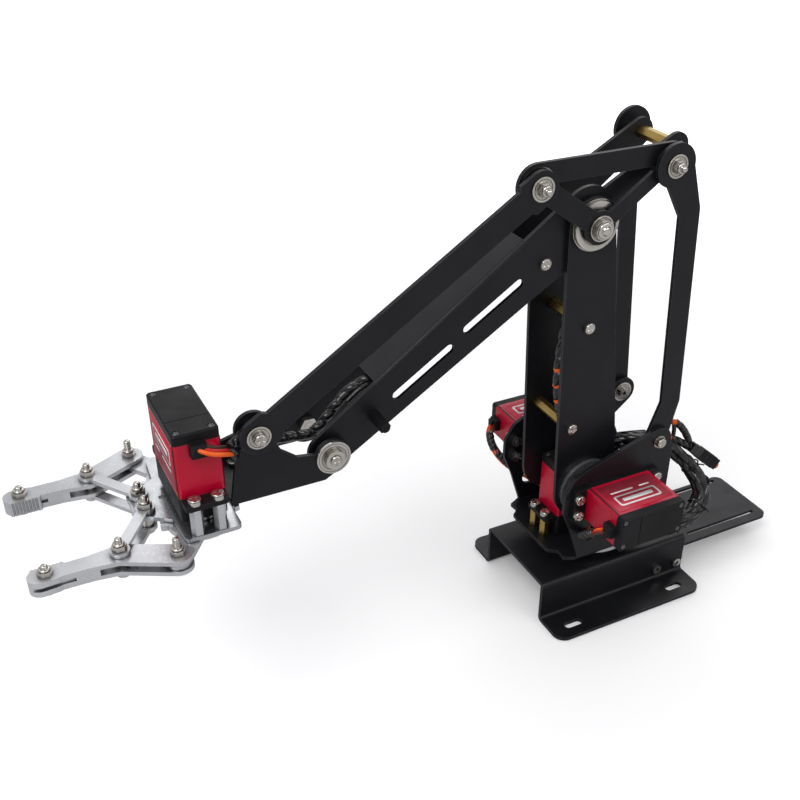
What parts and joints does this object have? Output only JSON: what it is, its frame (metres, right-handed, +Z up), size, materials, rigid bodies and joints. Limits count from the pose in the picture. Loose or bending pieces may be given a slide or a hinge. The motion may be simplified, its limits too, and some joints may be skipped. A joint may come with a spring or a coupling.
{
  "type": "desktop robot arm",
  "caption": "Desktop parallelogram-linkage robot arm: slotted base, turning turret with servos, lower arm, forearm, level links and a geared parallel-jaw gripper.",
  "frame": {"origin": "on the table plane, on the yaw axis, at the centre of the base's four mounting slots", "axes": "+X forwards, towards the gripper; +Y to the arm's left; +Z up"},
  "size_m": [0.4236, 0.1296, 0.2675],
  "materials": {
    "black_sheet": "satin",
    "servo_red": "satin",
    "servo_black": "satin",
    "alu": "satin",
    "steel": "satin",
    "brass": "satin"
  },
  "bodies": {
    "base": {"base_bracket": "black_sheet", "cable_tray": "black_sheet", "base_screws": "steel", "base_hub": "alu", "yaw_bearing_inner": "steel", "yaw_bearing_balls": "steel", "yaw_horn_and_shaft": "alu"},
    "turret": {"turret_bracket": "black_sheet", "yaw_bearing_outer": "alu", "yaw_servo_gearbox": "servo_black", "yaw_servo_case": "servo_red", "yaw_servo_cover": "servo_black", "left_servo_gearbox": "servo_black", "left_servo_case": "servo_red", "left_servo_cover": "servo_black", "right_servo_gearbox": "servo_black", "right_servo_case": "servo_red", "right_servo_cover": "servo_black", "arm_servo_motors": "steel", "arm_servo_gears": "brass", "yaw_standoffs": "brass", "turret_screws": "steel"},
    "lower_arm": {"lower_arm_near_plate": "black_sheet", "lower_arm_far_plate": "black_sheet", "lower_arm_standoffs": "brass", "lower_arm_screws": "steel", "elbow_bearing": "steel", "shoulder_horn_and_shaft": "alu"},
    "rocker": {"rocker_plate": "black_sheet", "rocker_pivots": "steel"},
    "rear_link": {"rear_link": "black_sheet"},
    "upper_link": {"upper_link": "black_sheet"},
    "crank": {"crank_plate": "black_sheet", "elbow_horn_and_shaft": "alu"},
    "crank_pin": {"crank_pin": "steel"},
    "drive_link": {"drive_link": "black_sheet"},
    "forearm": {"forearm_channel": "black_sheet", "forearm_standoffs": "brass", "forearm_screws": "steel", "cable_peg": "servo_black"},
    "hand": {"hand_bracket": "black_sheet", "wrist_bolts": "steel", "gripper_plate": "alu", "gripper_servo_gearbox": "servo_black", "gripper_servo_case": "servo_red", "gripper_servo_cover": "servo_black", "gripper_servo_works": "steel", "gripper_standoffs": "alu", "gripper_screws": "steel", "gripper_pins": "steel"},
    "near_lever": {"near_gear_lever": "alu", "grip_horn_and_shaft": "steel"},
    "far_lever": {"far_gear_lever": "alu"},
    "near_idler": {"near_idler_link": "alu"},
    "far_idler": {"far_idler_link": "alu"},
    "near_finger": {"near_finger": "alu", "near_finger_bolts": "steel"},
    "far_finger": {"far_finger": "alu", "far_finger_bolts": "steel"}
  },
  "joints": [
    {"name": "base_yaw", "type": "hinge", "parent": "base", "child": "turret", "pos_m": [0, 0, 0.038], "axis": [0, 0, 1], "range_deg": [-90, 90]},
    {"name": "shoulder", "type": "hinge", "parent": "turret", "child": "lower_arm", "pos_m": [0.02, 0.002, 0.0775], "axis": [0, 1, 0], "range_deg": [-8, 45], "stiffness_Nm_per_rad": 0.5, "springref_deg": -62.51},
    {"name": "rocker_level", "type": "hinge", "parent": "lower_arm", "child": "rocker", "pos_m": [0.03209, 0.002, 0.22772], "axis": [0, 1, 0], "range_deg": [-45, 8], "stiffness_Nm_per_rad": 0.5, "springref_deg": -54.55},
    {"name": "forearm_tilt", "type": "hinge", "parent": "rocker", "child": "forearm", "pos_m": [0.03209, 0.002, 0.22772], "axis": [0, 1, 0], "range_deg": [-25, 14], "stiffness_Nm_per_rad": 0.5, "springref_deg": -50.48},
    {"name": "hand_level", "type": "hinge", "parent": "forearm", "child": "hand", "pos_m": [0.16579, 0.002, 0.14056], "axis": [0, 1, 0], "range_deg": [-14, 25], "stiffness_Nm_per_rad": 0.5, "springref_deg": -11.75},
    {"name": "upper_link_swing", "type": "hinge", "parent": "rocker", "child": "upper_link", "pos_m": [0.06809, 0.0278, 0.25272], "axis": [0, 1, 0], "range_deg": [-25, 14]},
    {"name": "crank_swing", "type": "hinge", "parent": "turret", "child": "crank", "pos_m": [0.02, -0.0159, 0.0775], "axis": [0, 1, 0], "range_deg": [-25, 14]},
    {"name": "crank_pin_turn", "type": "hinge", "parent": "crank", "child": "crank_pin", "pos_m": [-0.02507, -0.0159, 0.10688], "axis": [0, 1, 0], "range_deg": [-14, 25]},
    {"name": "drive_link_swing", "type": "hinge", "parent": "crank_pin", "child": "drive_link", "pos_m": [-0.02507, -0.0182, 0.10688], "axis": [0, 1, 0], "range_deg": [-8, 45]},
    {"name": "rear_link_swing", "type": "hinge", "parent": "turret", "child": "rear_link", "pos_m": [-0.016, 0.0278, 0.1025], "axis": [0, 1, 0], "range_deg": [-8, 45]},
    {"name": "grip", "type": "hinge", "parent": "hand", "child": "near_lever", "pos_m": [0.22779, 0.0184, 0.1255], "axis": [0, 0, -1], "range_deg": [0, 54]},
    {"name": "far_lever_turn", "type": "hinge", "parent": "hand", "child": "far_lever", "pos_m": [0.22779, -0.0144, 0.1255], "axis": [0, 0, 1], "range_deg": [0, 54]},
    {"name": "near_idler_turn", "type": "hinge", "parent": "hand", "child": "near_idler", "pos_m": [0.24879, 0.0077, 0.1255], "axis": [0, 0, -1], "range_deg": [0, 54]},
    {"name": "far_idler_turn", "type": "hinge", "parent": "hand", "child": "far_idler", "pos_m": [0.24879, -0.0037, 0.1255], "axis": [0, 0, 1], "range_deg": [0, 54]},
    {"name": "near_finger_level", "type": "hinge", "parent": "near_lever", "child": "near_finger", "pos_m": [0.24449, 0.0427, 0.1255], "axis": [0, 0, -1], "range_deg": [-54, 0]},
    {"name": "far_finger_level", "type": "hinge", "parent": "far_lever", "child": "far_finger", "pos_m": [0.24449, -0.0387, 0.1255], "axis": [0, 0, 1], "range_deg": [-54, 0]}
  ],
  "couplings": [
    {"joint": "rocker_level", "follows": "shoulder", "ratio": -1},
    {"joint": "rear_link_swing", "follows": "shoulder", "ratio": 1},
    {"joint": "drive_link_swing", "follows": "shoulder", "ratio": 1},
    {"joint": "hand_level", "follows": "forearm_tilt", "ratio": -1},
    {"joint": "upper_link_swing", "follows": "forearm_tilt", "ratio": 1},
    {"joint": "crank_swing", "follows": "forearm_tilt", "ratio": 1},
    {"joint": "crank_pin_turn", "follows": "forearm_tilt", "ratio": -1},
    {"joint": "far_lever_turn", "follows": "grip", "ratio": 1},
    {"joint": "near_idler_turn", "follows": "grip", "ratio": 1},
    {"joint": "far_idler_turn", "follows": "grip", "ratio": 1},
    {"joint": "near_finger_level", "follows": "grip", "ratio": -1},
    {"joint": "far_finger_level", "follows": "grip", "ratio": -1}
  ]
}
